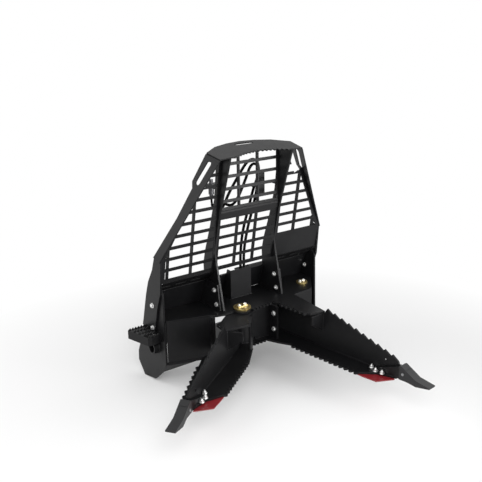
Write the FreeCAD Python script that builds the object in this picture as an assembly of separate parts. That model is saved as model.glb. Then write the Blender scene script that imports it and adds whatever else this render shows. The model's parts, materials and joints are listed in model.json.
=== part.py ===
import FreeCAD, Part
import math
import os

V = FreeCAD.Vector

# Tree puller for a skid-steer loader, in millimetres.
# Working frame: X to the right seen from the front, Y back to the loader, Z up, X = 0 on the
# middle of the loader plate, Z = 0 at the lowest corner of the side plates.
# The finished pieces are shifted so that the origin is the middle of the footprint on the ground.
footprint_x = -198.385
footprint_y = -439.194

# Plate stock
side_stock = 12.0
mount_stock = 12.0
deck_stock = 12.0
front_stock = 8.0
rib_stock = 12.0
sheet_stock = 5.0
flange_stock = 8.0
leg_stock = 12.0
swing_gap = 1.0

# Loader plate: overall width, height and lean, and where its rear face meets the top edge
frame_width = 1150.0
mount_height = 441.0
mount_lean = 20.0
mount_top_y = 115.5
mount_top_z = 585.0
lip_flat = 26.0
lip_depth = 48.0
lip_fall = 22.0
ledge_depth = 50.0
pin_slot_x = 393.0
pin_slot_width = 42.0
pin_slot_depth = 26.0
pin_slot_from_face = 30.0

# Deck plates carrying the hinge and the fixed jaw
deck_top_z = 435.0
sole_z = 200.0
front_left_x = -318.0
front_left_y = -75.0
front_right_x = 431.0
front_right_y = -114.0
front_side_y = 48.0
front_inner_x = 274.0
front_inner_y = -129.0
box_bottom_z = 174.0
box_side_x = -230.0
box_side_y = 4.0

# Hinge of the moving jaw, and its travel from open to shut
pivot_x = -105.0
pivot_y = -100.0
open_angle = 49.1
shut_angle = 56.0
pin_radius = 32.0
pin_fit = 0.05
bush_wall = 6.0
hub_wall = 14.0
hub_round = 73.0
cap_radius = 52.0
cap_height = 8.0

# Jaw plan, measured from the front corner of the fixed jaw's top plate:
# "across" is outwards and "along" is towards the tip
jaw_x = 241.0
jaw_y = -442.0
jaw_flare = 6.4
wall_end = 560.0
tooth_pitch = 53.0
tooth_depth = 16.0
tooth_rise = 0.76
crest_start = 36.0
crest_start_z = 443.0
crest_fall = 15.6
throat_pitch = 26.0
throat_tooth = 20.0
sole_inner = -120.0
sole_outer = 145.0
sole_pitch = 36.0
outer_pitch = 53.0
outer_tooth = 15.0
sole_tooth = 24.0
blade_stock = 12.0
tooth_width = 54.0
tooth_centre = -11.0
tooth_tip = 778.0
tooth_root = 581.0
moving_jaw_span = 107.0
moving_jaw_back = 50.0

# Hydraulic cylinder
base_pin_x = 447.0
cylinder_y = 3.0
cylinder_z = 320.0
tail_radius = 110.0
tail_angle = 76.0
barrel_radius = 44.0
bore_radius = 36.0
rod_radius = 20.0
eye_radius = 42.0
eye_length = 60.0
base_pin_radius = 19.0
rod_pin_radius = 18.0
rod_eye_bore = 26.0
stroke_margin = 18.0

# Guard: the plane of its slats, its rows and its cap
guard_lean = 9.92
face_y = 6.6
face_z = 735.3
slat_pitch = 66.27
slat_height = 19.0
guard_half_cap = 302.0
cap_front_y = -181.0
cap_front_z = 1363.0
cap_side_depth = 123.0
cap_bulge = 108.0
cap_hollow = 63.0
cap_hollow_half = 210.0
cap_tooth = 17.0
cap_pitch = 28.0
cap_stock = 7.0
rib_x = 213.0
mid_rail_v = 281.0
mid_rail_height = 48.0

# Step, fasteners and hoses
step_reach = 113.0
step_front_y = 48.0
step_rear_y = 215.0
step_top_z = 345.0
step_height = 52.0
step_slant = 38.0
stud_pitch = 19.0
stud_height = 11.0
boss_radius = 38.0
bolt_radius = 9.0
blade_bolt_radius = 7.0
hose_radius = 6.5
coupler_radius = 16.0
coupler_height = 112.0

# Values that follow from the ones above
side_out = frame_width / 2
side_in = side_out - side_stock
deck_low_z = deck_top_z - deck_stock
sole_top_z = sole_z + deck_stock
roof_z = deck_low_z - swing_gap - deck_stock
floor_z = sole_top_z + swing_gap + deck_stock
leg_out = side_out + leg_stock
cap_front_half = guard_half_cap - 12
rib_out = rib_x + rib_stock
sin_lean = math.sin(math.radians(guard_lean))
cos_lean = math.cos(math.radians(guard_lean))
tan_mount = math.tan(math.radians(mount_lean))
cos_flare = math.cos(math.radians(jaw_flare))
sin_flare = math.sin(math.radians(jaw_flare))
pieces = {}


# Solids from outlines

def face_of(points):
    corners = [V(*point) for point in points]
    return Part.Face(Part.makePolygon(corners + corners[:1]))


def prism_z(plan, low, high):
    """Upright prism on a plan outline."""
    return face_of([(x, y, low) for x, y in plan]).extrude(V(0, 0, high - low))


def prism_x(profile, low, high):
    """Prism across the machine on a side profile of (y, z) points."""
    return face_of([(low, y, z) for y, z in profile]).extrude(V(high - low, 0, 0))


def prism_y(profile, low, high):
    """Prism from front to back on a front profile of (x, z) points."""
    return face_of([(x, low, z) for x, z in profile]).extrude(V(0, high - low, 0))


def block(x0, x1, y0, y1, z0, z1):
    return Part.makeBox(x1 - x0, y1 - y0, z1 - z0, V(x0, y0, z0))


def bar(start, end, radius):
    """Round bar between two points."""
    run = V(*end) - V(*start)
    return Part.makeCylinder(radius, run.Length, V(*start), run)


def post(x, y, low, high, radius):
    return Part.makeCylinder(radius, high - low, V(x, y, low))


def hexagon(x, y, low, high, radius):
    corners = [math.radians(60 * corner) for corner in range(6)]
    return prism_z([(x + radius * math.cos(a), y + radius * math.sin(a)) for a in corners], low, high)


def joined(shapes):
    first, *rest = shapes
    return first.fuse(rest).removeSplitter() if rest else first


def mirrored(shape):
    return shape.mirror(V(0, 0, 0), V(1, 0, 0))


def turned(shape, centre, axis, angle):
    copy = shape.copy()
    copy.rotate(V(*centre), V(*axis), angle)
    return copy


def moved(shape, x, y, z):
    copy = shape.copy()
    copy.translate(V(x, y, z))
    return copy


def saw_edge(start, end, pitch, depth, side):
    """Points of a row of saw teeth from start to end, pointing to the left of the run when side is 1."""
    run_x = end[0] - start[0]
    run_y = end[1] - start[1]
    run = math.hypot(run_x, run_y)
    count = max(1, round(run / pitch))
    points = []
    for tooth in range(count):
        for share, rise in ((0.0, 0.0), (0.72, depth)):
            t = (tooth + share) / count
            x = start[0] + run_x * t - side * rise * run_y / run
            y = start[1] + run_y * t + side * rise * run_x / run
            points.append((x, y))
    return points + [end]


def scallops(start, end, pitch, depth, side):
    """Points of a row of blunt teeth from start to end, laid out like the saw teeth."""
    run_x = end[0] - start[0]
    run_y = end[1] - start[1]
    run = math.hypot(run_x, run_y)
    count = max(1, round(run / pitch))
    points = []
    for tooth in range(count):
        for share, rise in ((0.06, 0.0), (0.24, 0.8), (0.42, 1.0), (0.68, 1.0), (0.86, 0.7), (0.97, 0.0)):
            t = (tooth + share) / count
            x = start[0] + run_x * t - side * rise * depth * run_y / run
            y = start[1] + run_y * t + side * rise * depth * run_x / run
            points.append((x, y))
    return [start] + points + [end]


def arc_points(centre, radius, start, end, steps):
    """Points along an arc, angles in degrees."""
    angles = [math.radians(start + (end - start) * step / steps) for step in range(steps + 1)]
    return [(centre[0] + radius * math.cos(a), centre[1] + radius * math.sin(a)) for a in angles]


def standing_plate(start, end, stock, profile):
    """Vertical plate along a line in plan, with a profile of (distance, z) points."""
    angle = math.degrees(math.atan2(end[1] - start[1], end[0] - start[0]))
    plate = prism_y(profile, 0, stock)
    plate = turned(plate, (0, 0, 0), (0, 0, 1), angle)
    return moved(plate, start[0], start[1], 0)


def slot_tool(length, width, depth):
    """Round-ended slot cutter lying along X, its depth centred on Z = 0."""
    half = length / 2 - width / 2
    ends = [Part.makeCylinder(width / 2, depth, V(x, 0, -depth / 2)) for x in (-half, half)]
    return joined([block(-half, half, -width / 2, width / 2, -depth / 2, depth / 2)] + ends)


def bolt_along_x(x0, x1, y, z, nut_out):
    """Hexagon bolt through plates from x0 to x1, its head at x0 and its nut at x1."""
    head = 0.62 * bolt_radius * 2
    way = 1 if x1 > x0 else -1
    shank = bar((x0, y, z), (x1 + way * nut_out, y, z), bolt_radius)
    parts = [shank]
    for inner, size in ((x0, -way * head), (x1, way * head * 1.1)):
        nut = hexagon(0, 0, min(0, size), max(0, size), bolt_radius * 1.75)
        nut = turned(nut, (0, 0, 0), (0, 1, 0), 90)
        parts.append(moved(nut, inner, y, z))
    return joined(parts)


def on_face(shape):
    """Moves a piece from guard coordinates (x, behind the slats, up the slats) to its place."""
    return moved(turned(shape, (0, 0, 0), (1, 0, 0), guard_lean), 0, face_y, face_z)


def face_point(back, up):
    """The (y, z) place of a point of the guard's plane."""
    return (face_y + back * cos_lean - up * sin_lean, face_z + back * sin_lean + up * cos_lean)


def on_mount(shape):
    """Moves a piece from loader plate coordinates (x, behind the rear face, up) to its place."""
    return moved(turned(shape, (0, 0, 0), (1, 0, 0), mount_lean), 0, mount_top_y, mount_top_z)


def mount_front_y(z):
    """Where the front of the loader plate is at a height."""
    rise = mount_stock / math.cos(math.radians(mount_lean))
    return mount_top_y + (mount_top_z - z) * tan_mount - rise


def jaw_to_plan(across, along):
    """Plan position of a point of the fixed jaw."""
    x = jaw_x + across * cos_flare + along * sin_flare
    y = jaw_y + across * sin_flare - along * cos_flare
    return (x, y)


def fixed_place(shape):
    """Puts a jaw piece, drawn with X across and Y against the tip, on the fixed jaw."""
    return moved(turned(shape, (0, 0, 0), (0, 0, 1), jaw_flare), jaw_x, jaw_y, 0)


def moving_place(shape):
    """Puts a jaw piece on the moving jaw, mirrored and swung open."""
    shut = fixed_place(shape).mirror(V(moving_jaw_span / 2, 0, 0), V(1, 0, 0))
    shut = moved(shut, 0, moving_jaw_back, 0)
    return turned(shut, (pivot_x, pivot_y, 0), (0, 0, 1), -open_angle)


def hub_in_jaw():
    """Where the hinge lies in the moving jaw's own plan, as (across, along)."""
    x = moving_jaw_span - pivot_x - jaw_x
    y = pivot_y - moving_jaw_back - jaw_y
    return (x * cos_flare + y * sin_flare, x * sin_flare - y * cos_flare)


# Loader side of the frame: side plates, loader plates with lips and ledges

side_outline = [(45, 630), (17, 599), (12, 300), (8, 160), (64, 89), (146, 20), (274, 0),
                (341, 76), (338, 137), (241, 348), (165, 598)]
pieces["side_plate_left"] = prism_x(side_outline, -side_out, -side_in)


def loader_plate(x0, x1):
    """Leaning plate with the locking ledge at its foot."""
    plate = block(x0, x1, -mount_stock, 0, -mount_height, 0)
    ledge = block(x0, x1, 0, ledge_depth, -mount_height, mount_stock - mount_height)
    return plate, ledge


def loader_lip(x0, x1):
    """Hook of the loader plate, bent down behind its top edge."""
    profile = [(-mount_stock, 0), (lip_flat, 0), (lip_depth, -lip_fall),
               (lip_depth - 8, -lip_fall - 8), (lip_flat - 5, -mount_stock), (0, -mount_stock)]
    return prism_x(profile, x0, x1)


plate, ledge = loader_plate(-side_in, -rib_x)
pin_slot = moved(slot_tool(pin_slot_width, pin_slot_depth, 3 * mount_stock),
                 -pin_slot_x, pin_slot_from_face, -mount_height)
lip = loader_lip(-side_in, -rib_x)
pieces["mount_plate_left"] = on_mount(joined([plate, ledge.cut(pin_slot), lip]))

centre_foot = -(mount_top_z - deck_top_z) / math.cos(math.radians(mount_lean)) - mount_stock
centre = block(-rib_x, rib_x, -mount_stock, 0, centre_foot, 0)
centre = on_mount(joined([centre, loader_lip(30, rib_x), loader_lip(-rib_x, -139)]))
below_deck = block(-side_out, side_out, -side_out, side_out, 0, deck_top_z)
pieces["mount_plate_centre"] = centre.cut(below_deck)

# Everything of the frame stops at the front face of the loader plates
behind_mount = on_mount(block(-side_out, side_out, -mount_stock, side_out, -side_out, side_out))
behind_mount_plate = behind_mount.common(block(-side_out, side_out, 0, side_out, 0, mount_top_z))

# Deck and sole plates, with the saw teeth of the throat and of the fixed jaw

throat_start = (-76, -150)
throat_end = (84, -133)
throat_teeth = scallops(throat_start, throat_end, throat_pitch, throat_tooth, -1)
hub_front = arc_points((pivot_x, pivot_y), hub_round, 190, 268, 8)
jaw_root = jaw_to_plan(-98, -264)
deck_inner = scallops(jaw_root, jaw_to_plan(-98, -41), sole_pitch, throat_tooth, -1)
deck_plan = [(-side_in, 2), (front_left_x, front_left_y), (-295, -103), (-246, -117)]
deck_plan += hub_front + throat_teeth + deck_inner
deck_plan += [jaw_to_plan(-92, -22), jaw_to_plan(0, 10), (front_inner_x, front_inner_y)]
deck_plan += [(front_right_x, front_right_y), (side_in, front_side_y), (side_in, 260), (-side_in, 260)]
pivot_bore = post(pivot_x, pivot_y, 0, deck_top_z + side_out, pin_radius)
base_bore = post(base_pin_x, cylinder_y, 0, deck_top_z + side_out, base_pin_radius)
deck = prism_z(deck_plan, deck_low_z, deck_top_z).cut(behind_mount)
pieces["top_plate"] = deck.cut(pivot_bore).cut(base_bore)

sole_left = -rib_out - side_stock
hub_sole = arc_points((pivot_x, pivot_y), 80, 150, 268, 12)
jaw_tip_inner = [(-75, 430), (-60, 443), (-25, 555)]
jaw_tip_outer = [(40, 555), (54, 481)]
inner_teeth = scallops(jaw_to_plan(sole_inner, -144), jaw_to_plan(sole_inner, 375),
                       sole_pitch, sole_tooth, -1)
outer_teeth = saw_edge(jaw_to_plan(54, 481), jaw_to_plan(125, 104), outer_pitch, outer_tooth, -1)
sole_throat = scallops(throat_start, jaw_to_plan(-180, -315), throat_pitch, throat_tooth, -1)
sole_plan = [(sole_left, side_out), (sole_left, -40)] + hub_sole + sole_throat
sole_plan += [jaw_to_plan(-151, -215)] + inner_teeth
sole_plan += [jaw_to_plan(*point) for point in jaw_tip_inner + jaw_tip_outer[:1]] + outer_teeth
sole_plan += [jaw_to_plan(sole_outer, 0), (front_right_x, front_right_y), (side_in, front_side_y)]
sole_plan += [(side_in, side_out)]
sole = prism_z(sole_plan, sole_z, sole_top_z).cut(behind_mount)
pieces["bottom_plate"] = sole.cut(pivot_bore).cut(base_bore)

# Oblique front plates of the two side boxes, each with a sloping sill

left_run = math.hypot(side_in + front_left_x, front_left_y - 2)
left_profile = [(0, box_bottom_z), (left_run, box_bottom_z), (left_run, deck_low_z), (0, deck_low_z)]
front = standing_plate((-side_in, 2), (front_left_x, front_left_y), front_stock, left_profile)
sill_profile = [(-4, 0), (front_stock, 0), (62, -24), (62, -38), (front_stock, -14), (-4, -14)]
sill = prism_x(sill_profile, 0, left_run)
turn = math.degrees(math.atan2(front_left_y - 2, side_in + front_left_x))
sill = moved(turned(sill, (0, 0, 0), (0, 0, 1), turn), -side_in, 2, box_bottom_z)
underside = prism_x([(13, 160), (66, 92), (74, 98), (22, 164)], -side_in, front_left_x - 20)
inner_run = math.hypot(box_side_x - front_left_x, box_side_y - front_left_y)
inner_profile = [(0, box_bottom_z), (inner_run, box_bottom_z), (inner_run, deck_low_z), (0, deck_low_z)]
inner_side = standing_plate((front_left_x, front_left_y), (box_side_x, box_side_y), front_stock,
                            inner_profile)
box_front = joined([front, sill, underside, inner_side])
box_front = box_front.cut(block(-side_out, -side_in, -99, 99, 0, deck_top_z))
pieces["box_front_left"] = box_front.cut(pieces["bottom_plate"])

right_run = math.hypot(side_in - front_right_x, front_side_y - front_right_y)
right_profile = [(0, sole_top_z), (right_run, sole_top_z), (right_run, deck_low_z), (0, deck_low_z)]
front = standing_plate((front_right_x, front_right_y), (side_in, front_side_y), front_stock, right_profile)
inner_run = math.hypot(front_right_x - front_inner_x, front_right_y - front_inner_y)
inner_profile = [(0, sole_top_z), (inner_run, sole_top_z), (inner_run, deck_low_z), (0, deck_low_z)]
inner_front = standing_plate((front_inner_x, front_inner_y), (front_right_x, front_right_y), front_stock,
                             inner_profile)
front = joined([front, inner_front])
pieces["box_front_right"] = front.cut(block(side_in, side_out, -99, 99, 0, deck_top_z))

# Uprights on the deck, hose channel, and the plates between deck and sole

upright = [(-62, deck_top_z), (-36, 590), (62, 598), (mount_front_y(565), 565),
           (mount_front_y(deck_top_z), deck_top_z)]
pieces["upright_left"] = prism_x(upright, -rib_out - side_stock, -rib_out)

channel_half = 77
channel_front = 53
channel_top = 617
channel = block(-channel_half, channel_half, channel_front, 200, deck_top_z, channel_top)
hollow = block(sheet_stock - channel_half, channel_half - sheet_stock, channel_front + sheet_stock, 200,
               deck_top_z, channel_top)
pieces["hose_channel"] = channel.cut(hollow).cut(behind_mount)

root_x = 80
throat_y = -116
throat = block(-26, root_x, throat_y, throat_y + side_stock, sole_top_z, deck_low_z)
throat_tongue = block(-49, -26, throat_y, throat_y + side_stock, floor_z + 4, roof_z - 4)
pieces["throat_plate"] = joined([throat, throat_tongue])
pieces["root_plate"] = block(root_x, root_x + side_stock, -200, -75, sole_top_z, deck_low_z)
root_bolts = []
for height in (372, 270):
    root_bolts.append(bolt_along_x(root_x, root_x + side_stock, -169, height, 8))
pieces["root_bolts"] = joined(root_bolts)
pieces["root_plate"] = pieces["root_plate"].cut(pieces["root_bolts"])


# Jaws: both are drawn as the fixed one, X across and Y against the tip

def jaw_plan(points):
    return [(across, -along) for across, along in points]


def crest_z(along):
    """Height of the line of tooth points along a jaw wall."""
    fall = math.tan(math.radians(crest_fall))
    return crest_start_z + tooth_depth - (along - crest_start) * fall


def jaw_wall(rear, foot, roof):
    """Upright wall of a jaw with its falling row of saw teeth."""
    profile = [(rear, foot), (400, foot), (459, 241), (wall_end, 278), (wall_end, 284)]
    points = []
    along = crest_start
    while along < wall_end - tooth_pitch / 2:
        points.append((along, crest_z(along)))
        foot_along = along + tooth_rise * tooth_pitch
        points.append((foot_along, crest_z(foot_along) - tooth_depth))
        along += tooth_pitch
    profile += points[::-1] + [(12, roof), (rear, roof)]
    wall = prism_x([(-y, z) for y, z in profile], -side_stock, 0)
    hole = bar((-side_stock, -467, 283), (0, -467, 283), 6.5)
    return wall.cut(hole)


def jaw_gusset(roof):
    """Tapered plate across a jaw, under the front edge of its top plate."""
    profile = [(-side_stock, roof), (-side_stock, roof - 114), (-106, roof - 50), (-106, roof)]
    return prism_y(profile, -6, 6)


def jaw_shank(foot):
    profile = [(400, foot), (459, 241), (wall_end, 278), (625, 278), (625, foot)]
    return prism_x([(-y, z) for y, z in profile], tooth_centre - 23, tooth_centre + 21)


def jaw_tooth(foot):
    profile = [(tooth_root, foot), (tooth_root, 290), (592, 295), (685, 243), (tooth_tip, 228),
               (tooth_tip, 221), (690, 205), (640, foot)]
    return prism_x([(-y, z) for y, z in profile], tooth_centre - tooth_width / 2,
                   tooth_centre + tooth_width / 2)


def tooth_pin():
    return bar((tooth_centre - 31, -606, 250), (tooth_centre + 31, -606, 250), 8)


def jaw_blade(top):
    """Bevelled cutting blade bolted under the plate of a jaw."""
    plan = jaw_plan([(-50, 345), (-126, 345), (-128, 385), (-122, 490), (-30, 550), (-20, 515),
                     (-34, 440)])
    blade = prism_z(plan, top - blade_stock, top)
    low = top - blade_stock
    cutting = [V(x, y, low) for x, y in plan[1:5]]
    bevel = []
    for edge in blade.Edges:
        ends = [vertex.Point for vertex in edge.Vertexes]
        if all(min(end.distanceToPoint(corner) for corner in cutting) < 1 for end in ends):
            bevel.append(edge)
    return blade.makeChamfer(blade_stock * 0.7, bevel)


blade_bolt_places = [(-26, 386), (-48, 430), (-47, 474)]


def blade_bolts(top, under):
    bolts = []
    for across, along in blade_bolt_places:
        shank = post(across, -along, under - blade_stock, top, blade_bolt_radius)
        head = hexagon(across, -along, top, top + 1.3 * blade_bolt_radius, 1.75 * blade_bolt_radius)
        bolts.append(shank.fuse(head))
    return Part.makeCompound(bolts)


def jaw_pieces(prefix, place, foot, roof, wall_rear):
    """The pieces that the two jaws have in common, put in place."""
    shank = jaw_shank(foot)
    tooth = jaw_tooth(foot).cut(shank)
    pin = tooth_pin()
    blade = jaw_blade(foot - side_stock)
    bolts = blade_bolts(foot, foot - side_stock)
    drawn = {
        "wall": jaw_wall(wall_rear, foot, roof),
        "gusset": jaw_gusset(roof),
        "shank": shank.cut(pin),
        "tooth": tooth.cut(pin),
        "tooth_pin": pin,
        "blade": blade.cut(bolts),
        "blade_bolts": bolts,
    }
    for name, shape in drawn.items():
        pieces[prefix + name] = place(shape)


jaw_pieces("fixed_jaw_", fixed_place, sole_top_z, deck_low_z, -380)
pieces["bottom_plate"] = pieces["bottom_plate"].cut(pieces["fixed_jaw_blade_bolts"])

# Moving jaw between the deck and the sole, with its hub, lugs and tail pin

hub_across, hub_along = hub_in_jaw()
hub_radius = pin_radius + bush_wall + hub_wall
jaw_pieces("moving_jaw_", moving_place, floor_z, roof_z, -270)
lug_angle = math.radians(180 - tail_angle - open_angle - jaw_flare)
tail_x = hub_across + tail_radius * math.cos(lug_angle)
tail_y = -hub_along + tail_radius * math.sin(lug_angle)


def tail_lug(low, high):
    """Lug of a jaw plate that carries the rod's pin."""
    side_x = -math.sin(lug_angle)
    side_y = math.cos(lug_angle)
    hub_reach = hub_round - 6
    plan = [(hub_across + side_x * hub_reach, side_y * hub_reach - hub_along),
            (tail_x + side_x * eye_radius, tail_y + side_y * eye_radius),
            (tail_x - side_x * eye_radius, tail_y - side_y * eye_radius),
            (hub_across - side_x * hub_reach, -side_y * hub_reach - hub_along)]
    return joined([prism_z(plan, low, high), post(tail_x, tail_y, low, high, eye_radius)])


top_teeth = scallops((-66, 208), (-98, 80), throat_pitch, throat_tooth, -1)
top_outline = [(hub_across - 72, -hub_along)] + top_teeth
top_outline += jaw_plan([(0, 22), (68, -39), (61, -97), (hub_across + 72, hub_along)])
top = prism_z(top_outline, roof_z, roof_z + deck_stock)
disc = post(hub_across, -hub_along, roof_z, roof_z + deck_stock, hub_round)
hub_post = post(hub_across, -hub_along, 0, deck_top_z, hub_radius)
tail_post = post(tail_x, tail_y, floor_z - deck_stock, roof_z + deck_stock, rod_pin_radius)
jaw_top = joined([top, disc, tail_lug(roof_z, roof_z + deck_stock)])
pieces["moving_jaw_top_plate"] = moving_place(jaw_top.cut(hub_post).cut(tail_post))

near_edge = scallops((-68, 205), (-112, 3), throat_pitch, sole_tooth, -1)
inner_edge = scallops((-112, 3), (sole_inner, -375), sole_pitch, sole_tooth, -1)
outer_edge = saw_edge((54, -481), (125, -104), outer_pitch, outer_tooth, -1)
foot_outline = [(hub_across - 72, -hub_along)] + near_edge[:-1] + inner_edge
foot_outline += jaw_plan(jaw_tip_inner + jaw_tip_outer[:1]) + outer_edge
foot_outline += jaw_plan([(sole_outer, 0), (82, -200), (hub_across + 72, hub_along)])
foot_plate = prism_z(foot_outline, floor_z - deck_stock, floor_z)
disc = post(hub_across, -hub_along, floor_z - deck_stock, floor_z, hub_round)
jaw_foot = joined([foot_plate, disc, tail_lug(floor_z - deck_stock, floor_z)])
jaw_foot = moving_place(jaw_foot.cut(hub_post).cut(tail_post))
pieces["moving_jaw_bottom_plate"] = jaw_foot.cut(pieces["moving_jaw_blade_bolts"])

tube_low = floor_z - deck_stock
tube_high = roof_z + deck_stock
bush_outer = pin_radius + bush_wall
tube = post(pivot_x, pivot_y, tube_low, tube_high, hub_radius)
bush_length = 55
bushes = []
for low in (tube_low, tube_high - bush_length):
    ring = post(pivot_x, pivot_y, low, low + bush_length, bush_outer)
    bushes.append(ring.cut(post(pivot_x, pivot_y, low, low + bush_length, pin_radius + pin_fit)))
pieces["moving_jaw_bushes"] = Part.makeCompound(bushes)
bore = post(pivot_x, pivot_y, tube_low, tube_high, pin_radius + bush_wall / 2)
seats = [post(pivot_x, pivot_y, tube_low, tube_low + bush_length, bush_outer),
         post(pivot_x, pivot_y, tube_high - bush_length, tube_high, bush_outer)]
pieces["moving_jaw_hub"] = tube.cut(bore).cut(seats[0]).cut(seats[1])
pieces["moving_jaw_wall"] = pieces["moving_jaw_wall"].cut(tube)
pieces["moving_jaw_top_plate"] = pieces["moving_jaw_top_plate"].cut(pieces["moving_jaw_wall"])
web = block(-91, -79, 165, 205, floor_z, roof_z)
pieces["moving_jaw_web"] = moving_place(web)
pieces["rod_pin"] = moving_place(tail_post)

# Hinge pin with its cap and keeper, and the pin of the cylinder's base

pin = post(pivot_x, pivot_y, sole_z - cap_height, deck_top_z, pin_radius)
keeper = post(pivot_x, pivot_y, sole_z - cap_height, sole_z, cap_radius)
pieces["pivot_pin"] = pin.fuse(keeper).removeSplitter()
cap = post(pivot_x, pivot_y, deck_top_z, deck_top_z + cap_height, cap_radius)
keeper_bar = block(pivot_x - 34, pivot_x + 34, pivot_y - 11, pivot_y + 11, deck_top_z + cap_height,
                   deck_top_z + 1.8 * cap_height)
cap_bolts = [hexagon(pivot_x + x, pivot_y, deck_top_z + cap_height, deck_top_z + 3 * cap_height, 10)
             for x in (-20, 20)]
pieces["pivot_cap"] = joined([cap, keeper_bar] + cap_bolts)
base_shank = post(base_pin_x, cylinder_y, sole_z - 6, deck_top_z, base_pin_radius)
base_head = post(base_pin_x, cylinder_y, deck_top_z, deck_top_z + 10, base_pin_radius * 1.9)
base_bolts = [hexagon(base_pin_x + x, cylinder_y, deck_top_z + 10, deck_top_z + 19, 9) for x in (-15, 15)]
base_foot = post(base_pin_x, cylinder_y, sole_z - 6, sole_z, base_pin_radius * 1.5)
pieces["cylinder_base_pin"] = joined([base_shank, base_head, base_foot] + base_bolts)

# Cylinder: the rod's eye follows the chord of the tail pin's arc, midway between the chord and
# the arc, and its wide bore takes up the difference

half_swing = math.radians(shut_angle / 2)
mid_angle = math.radians(tail_angle) + half_swing
eye_offset = tail_radius * (1 - math.cos(half_swing)) / 2
rest_x = pivot_x + tail_radius * math.cos(math.radians(tail_angle)) + eye_offset * math.cos(mid_angle)
rest_y = pivot_y + tail_radius * math.sin(math.radians(tail_angle)) + eye_offset * math.sin(mid_angle)
end_angle = math.radians(tail_angle + shut_angle)
end_x = pivot_x + tail_radius * math.cos(end_angle) + eye_offset * math.cos(mid_angle)
end_y = pivot_y + tail_radius * math.sin(end_angle) + eye_offset * math.sin(mid_angle)
rest_length = math.hypot(rest_x - base_pin_x, rest_y - cylinder_y)
end_length = math.hypot(end_x - base_pin_x, end_y - cylinder_y)
rest_turn = math.degrees(math.atan2(rest_y - cylinder_y, rest_x - base_pin_x))
end_turn = math.degrees(math.atan2(end_y - cylinder_y, end_x - base_pin_x)) % 360
stroke = end_length - rest_length


def cylinder_place(shape):
    """Puts a cylinder piece, drawn along X from its base pin, on its resting line."""
    return moved(turned(shape, (0, 0, 0), (0, 0, 1), rest_turn), base_pin_x, cylinder_y, 0)


def round_x(x0, x1, radius):
    return bar((x0, 0, cylinder_z), (x1, 0, cylinder_z), radius)


eye_low = cylinder_z - eye_length / 2
eye_high = cylinder_z + eye_length / 2
barrel_end = rest_length - eye_radius - 42
barrel_start = 44
tube = round_x(barrel_start, barrel_end, barrel_radius).cut(
    round_x(barrel_start + 12, barrel_end, bore_radius))
base_eye = post(0, 0, eye_low, eye_high, 34)
neck = block(20, barrel_start, -20, 20, eye_low + 8, eye_high - 8)
ports = [post(barrel_start + 26, 0, cylinder_z, cylinder_z + barrel_radius + 16, 11),
         post(barrel_end - 26, 0, cylinder_z, cylinder_z + barrel_radius + 16, 11)]
ports = [port.cut(round_x(0, barrel_end, barrel_radius - 4)) for port in ports]
barrel = joined([tube, base_eye, neck] + ports)
pieces["barrel"] = cylinder_place(barrel.cut(post(0, 0, eye_low, eye_high, base_pin_radius + pin_fit)))
gland = joined([round_x(barrel_end, barrel_end + 18, barrel_radius - 3),
                round_x(barrel_end - 45, barrel_end, bore_radius)])
pieces["gland"] = cylinder_place(gland.cut(round_x(0, rest_length, rod_radius + pin_fit)))
piston_x = barrel_start + 12 + stroke_margin
piston = round_x(piston_x, piston_x + 30, bore_radius - pin_fit)
rod_eye = post(rest_length, 0, eye_low, eye_high, eye_radius - 2)
rod_eye_hole = post(rest_length, 0, eye_low, eye_high, rod_eye_bore)
rod_tip = rest_length - rod_eye_bore
rod = joined([round_x(piston_x, rod_tip, rod_radius), rod_eye]).cut(rod_eye_hole)
pieces["piston"] = cylinder_place(piston.cut(rod))
pieces["piston_rod"] = cylinder_place(rod)

# Guard: flanges with legs, cap, ribs, and screens of slats

cap_rear = [(guard_half_cap - 4, cap_side_depth), (200, 190), (100, 220),
            (0, cap_side_depth + cap_bulge)]
hollow_middle = (-cap_hollow_half / 2, 0.76 * cap_hollow)
hollow_teeth = saw_edge((-cap_hollow_half, 8), hollow_middle, cap_pitch, cap_tooth, -1)
hollow_teeth += saw_edge(hollow_middle, (0, cap_hollow), cap_pitch, cap_tooth, -1)
hollow_right = [(-x, w) for x, w in hollow_teeth[::-1]]
cap_plan = [(-cap_front_half, 0)] + hollow_teeth + hollow_right[1:] + [(cap_front_half, 0)]
cap_plan += cap_rear + [(-x, w) for x, w in cap_rear[:-1][::-1]]
cap = prism_z(cap_plan, -cap_stock, 0)
cap_slot = moved(slot_tool(130, 22, 3 * cap_stock), 0, 185, 0)
cap = turned(cap.cut(cap_slot), (0, 0, 0), (1, 0, 0), guard_lean)
pieces["guard_cap"] = moved(cap, 0, cap_front_y, cap_front_z)
over_cap = block(-side_out, side_out, -99, side_out, -cap_stock, side_out)
over_cap = moved(turned(over_cap, (0, 0, 0), (1, 0, 0), guard_lean), 0, cap_front_y, cap_front_z)

flange_foot = leg_out + 8
flange_corners = [V(-cap_front_half, cap_front_y, cap_front_z), V(4 - guard_half_cap, -60, cap_front_z + 23),
                  V(-flange_foot, 58, 811), V(-flange_foot, -3, 793)]
down = (flange_corners[3] - flange_corners[0]).normalize()
inward = down.cross(flange_corners[1] - flange_corners[0]).normalize()
across_flange = inward.cross(down)
flat = [corner - inward * (corner - flange_corners[0]).dot(inward) for corner in flange_corners]
rear_run = flat[2] - flat[1]
notch = [flat[1] + rear_run * share - across_flange * inset for share, inset in
         ((0.27, 2), (0.315, 28), (0.6, 27))]
flange_outline = flat[:2] + notch + flat[2:]
flange_face = Part.Face(Part.makePolygon(flange_outline + flat[:1]))
flange = flange_face.extrude(inward * flange_stock)
hand_slot = slot_tool(150, 35, 6 * flange_stock)
hand_slot.Placement = FreeCAD.Placement(V(-345, -92, 1283),
                                        FreeCAD.Rotation(down, across_flange, inward, "ZXY"))
flange = flange.cut(hand_slot)
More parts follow.
